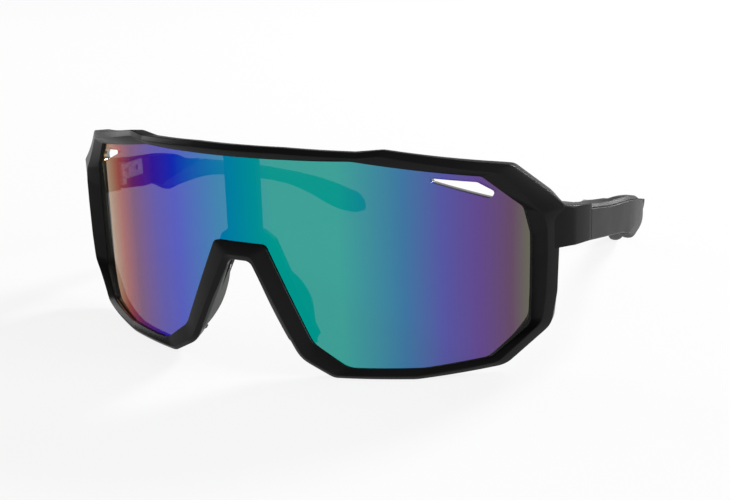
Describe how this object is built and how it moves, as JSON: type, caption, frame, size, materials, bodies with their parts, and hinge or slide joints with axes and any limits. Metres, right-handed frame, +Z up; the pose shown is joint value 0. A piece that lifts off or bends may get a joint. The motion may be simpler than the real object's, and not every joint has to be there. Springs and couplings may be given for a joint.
{
  "type": "wraparound shield glasses",
  "caption": "Wraparound mountain glasses: one-piece mirrored shield lens in a faceted black frame, vented upper corners, nose pads and hinged folding temples with ear sleeves.",
  "frame": {"origin": "middle of the glasses' footprint on the table they stand on, temples open", "axes": "+X the wearer's left, -Y the way the wearer looks, +Z up; X = 0 is the mirror plane"},
  "size_m": [0.1532, 0.1478, 0.0561],
  "materials": {
    "frame_black": "satin moulded nylon with a fine grain",
    "temple_black": "satin moulded nylon with a fine grain",
    "carrier_black": "satin moulded nylon",
    "lens_mirror": "polished tinted polycarbonate with a colour-shifting mirror coat",
    "pad_rubber": "soft matt grip rubber",
    "sleeve_rubber": "soft matt grip rubber",
    "hinge_steel": "fine brushed",
    "screw_steel": "fine turned"
  },
  "bodies": {
    "front": {"front_frame": "frame_black", "hinge_front_leaf_left": "hinge_steel", "hinge_front_leaf_right": "hinge_steel", "hinge_screw_left": "screw_steel", "hinge_screw_right": "screw_steel", "nose_carrier": "carrier_black", "nose_pad_left": "pad_rubber", "nose_pad_right": "pad_rubber", "shield_lens": "lens_mirror"},
    "left_temple": {"ear_sleeve_left": "sleeve_rubber", "hinge_temple_leaf_left": "hinge_steel", "leaf_rivets_left": "screw_steel", "temple_arm_left": "temple_black"},
    "right_temple": {"ear_sleeve_right": "sleeve_rubber", "hinge_temple_leaf_right": "hinge_steel", "leaf_rivets_right": "screw_steel", "temple_arm_right": "temple_black"}
  },
  "joints": [
    {"name": "left_temple_fold", "type": "hinge", "parent": "front", "child": "left_temple", "pos_m": [0.0682, -0.03211, 0.0347], "axis": [0, 0, 1], "range_deg": [0, 92]},
    {"name": "right_temple_fold", "type": "hinge", "parent": "front", "child": "right_temple", "pos_m": [-0.0682, -0.03211, 0.0347], "axis": [0, 0, -1], "range_deg": [0, 81]}
  ]
}
